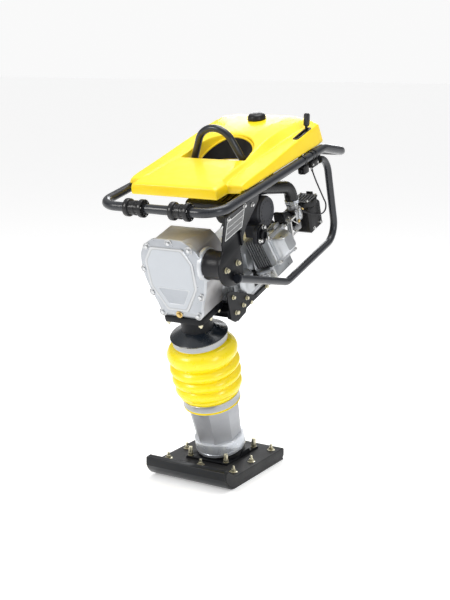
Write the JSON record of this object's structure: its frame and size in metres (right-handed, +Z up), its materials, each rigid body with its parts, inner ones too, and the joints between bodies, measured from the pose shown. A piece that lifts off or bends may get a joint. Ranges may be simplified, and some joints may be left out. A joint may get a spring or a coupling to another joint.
{
  "type": "jumping jack rammer",
  "caption": "Upright soil rammer: petrol engine and gearcase on a sprung leg with a bellows and flat shoe, under a tubular handle with a saddle fuel tank.",
  "frame": {"origin": "on the ground under the leg's foot, on the flat sole at the middle of its width", "axes": "+Z up, -Y towards the toe of the shoe and the front bar with the rollers, +X towards the side the engine's cylinder points to"},
  "size_m": [0.427, 0.8236, 1.0954],
  "materials": {
    "shoe_rubber": "matte textured black",
    "black_steel": "semi-gloss black paint",
    "charcoal_steel": "gloss charcoal powder coat",
    "bright_steel": "bright machined steel",
    "cast_silver": "silver cast metal",
    "yellow_plastic": "moulded yellow polyethylene",
    "yellow_rubber": "glossy yellow elastomer",
    "black_rubber": "satin black rubber",
    "black_plastic": "satin black plastic",
    "gear_steel": "oiled machined steel",
    "brass": "plain brass",
    "label": "blank plate"
  },
  "bodies": {
    "foot": {"shoe_plate": "black_steel", "shoe_block": "shoe_rubber", "leg_flange": "black_steel", "leg_collar": "bright_steel", "leg_casting": "cast_silver", "spring_tube": "gear_steel", "lower_spring": "gear_steel", "upper_spring": "gear_steel", "bellows": "yellow_rubber", "lower_bellows_band": "cast_silver"},
    "percussion_unit": {"upper_bellows_band": "cast_silver", "bellows_disc": "black_steel", "guide_tube": "black_steel", "case_flange": "black_steel", "gearcase": "cast_silver", "gearcase_cover": "cast_silver", "drain_plug": "brass", "clutch_housing": "cast_silver", "right_mount_rubber": "black_rubber", "left_mount_rubber": "black_rubber", "crankcase": "cast_silver", "finned_cylinder": "black_steel", "cylinder_head": "cast_silver", "spark_plug_cap": "black_rubber", "valve_cover": "cast_silver", "muffler": "black_steel", "carburettor": "cast_silver", "air_box": "black_plastic", "intake_elbow": "black_rubber", "air_cleaner": "black_plastic", "fan_shroud": "black_plastic", "recoil_starter": "black_plastic", "engine_bracket": "black_steel"},
    "crank_wheel": {"crank_gear": "gear_steel"},
    "pinion": {"pinion_and_drum": "gear_steel"},
    "engine_shaft": {"clutch_rotor": "gear_steel", "crankshaft_flywheel": "gear_steel"},
    "con_rod": {"connecting_rod": "gear_steel"},
    "ram": {"ram_piston": "gear_steel"},
    "throttle_arm": {"carb_throttle_arm": "bright_steel"},
    "starter_handle": {"starter_grip": "black_rubber"},
    "handle": {"handle_front": "charcoal_steel", "handle_rear": "charcoal_steel", "handle_rail_left": "charcoal_steel", "handle_rail_right": "charcoal_steel", "lifting_bale": "charcoal_steel", "side_plate_right": "black_steel", "spec_plate": "label", "side_plate_left": "black_steel", "guard_tube_right": "charcoal_steel", "guard_tube_left": "charcoal_steel", "fuel_tank": "yellow_plastic", "throttle_clamp": "black_plastic", "stop_switch": "black_plastic", "throttle_cable": "black_rubber"},
    "front_roller_left": {"roller_left": "black_plastic"},
    "front_roller_right": {"roller_right": "black_plastic"},
    "cap": {"fuel_cap": "black_plastic"},
    "lever": {"throttle_lever": "black_plastic"},
    "button": {"stop_button": "black_plastic"}
  },
  "joints": [
    {"name": "tamping_stroke", "type": "slide", "parent": "foot", "child": "percussion_unit", "axis": [0, -0.309, 0.9511], "range_m": [-0.035, 0.045], "stiffness_N_per_m": 60000, "springref_m": 0.0094, "deforming": ["bellows", "lower_spring", "upper_spring"]},
    {"name": "handle_sway", "type": "hinge", "parent": "percussion_unit", "child": "handle", "pos_m": [0, -0.20331, 0.69082], "axis": [1, 0, 0], "range_deg": [-1.2, 1.2], "stiffness_Nm_per_rad": 15000, "springref_deg": 0.21, "deforming": ["throttle_cable"]},
    {"name": "crank_gear_spin", "type": "hinge", "parent": "percussion_unit", "child": "crank_wheel", "pos_m": [0, -0.14399, 0.67329], "axis": [0, 0.9511, 0.309], "continuous": true},
    {"name": "pinion_spin", "type": "hinge", "parent": "percussion_unit", "child": "pinion", "pos_m": [0, -0.11247, 0.57629], "axis": [0, 0.9511, 0.309], "continuous": true},
    {"name": "engine_shaft_spin", "type": "hinge", "parent": "percussion_unit", "child": "engine_shaft", "pos_m": [0, 0.15098, 0.66188], "axis": [0, 0.9511, 0.309], "continuous": true},
    {"name": "connecting_rod_swing", "type": "hinge", "parent": "crank_wheel", "child": "con_rod", "pos_m": [0, -0.17642, 0.6922], "axis": [0, 0.9511, 0.309], "continuous": true},
    {"name": "ram_slide", "type": "slide", "parent": "percussion_unit", "child": "ram", "axis": [0, -0.309, 0.9511], "range_m": [-0.056, 0], "stiffness_N_per_m": 20000, "springref_m": 0.0006},
    {"name": "throttle_lever_turn", "type": "hinge", "parent": "handle", "child": "lever", "pos_m": [0.176, 0.23087, 0.94419], "axis": [1, 0, 0], "range_deg": [0, 34]},
    {"name": "throttle_arm_turn", "type": "hinge", "parent": "percussion_unit", "child": "throttle_arm", "pos_m": [0.168, 0.22241, 0.78183], "axis": [1, 0, 0], "range_deg": [0, 55]},
    {"name": "starter_pull", "type": "slide", "parent": "percussion_unit", "child": "starter_handle", "axis": [-1, 0, 0], "range_m": [0, 0.5], "stiffness_N_per_m": 30},
    {"name": "fuel_cap_turn", "type": "hinge", "parent": "handle", "child": "cap", "pos_m": [0, 0.24115, 1.07539], "axis": [0, -0.213, 0.977], "range_deg": [0, 90]},
    {"name": "stop_button_press", "type": "slide", "parent": "handle", "child": "button", "axis": [0, 0.977, 0.213], "range_m": [0, 0.003], "stiffness_N_per_m": 800},
    {"name": "roller_left_spin", "type": "hinge", "parent": "handle", "child": "front_roller_left", "pos_m": [-0.068, -0.314, 0.852], "axis": [1, 0, 0], "continuous": true},
    {"name": "roller_right_spin", "type": "hinge", "parent": "handle", "child": "front_roller_right", "pos_m": [0.083, -0.314, 0.852], "axis": [1, 0, 0], "continuous": true}
  ],
  "couplings": [
    {"joint": "pinion_spin", "follows": "crank_gear_spin", "ratio": -5},
    {"joint": "connecting_rod_swing", "follows": "crank_gear_spin", "ratio": -1},
    {"joint": "throttle_arm_turn", "follows": "throttle_lever_turn", "ratio": 1.6}
  ]
}
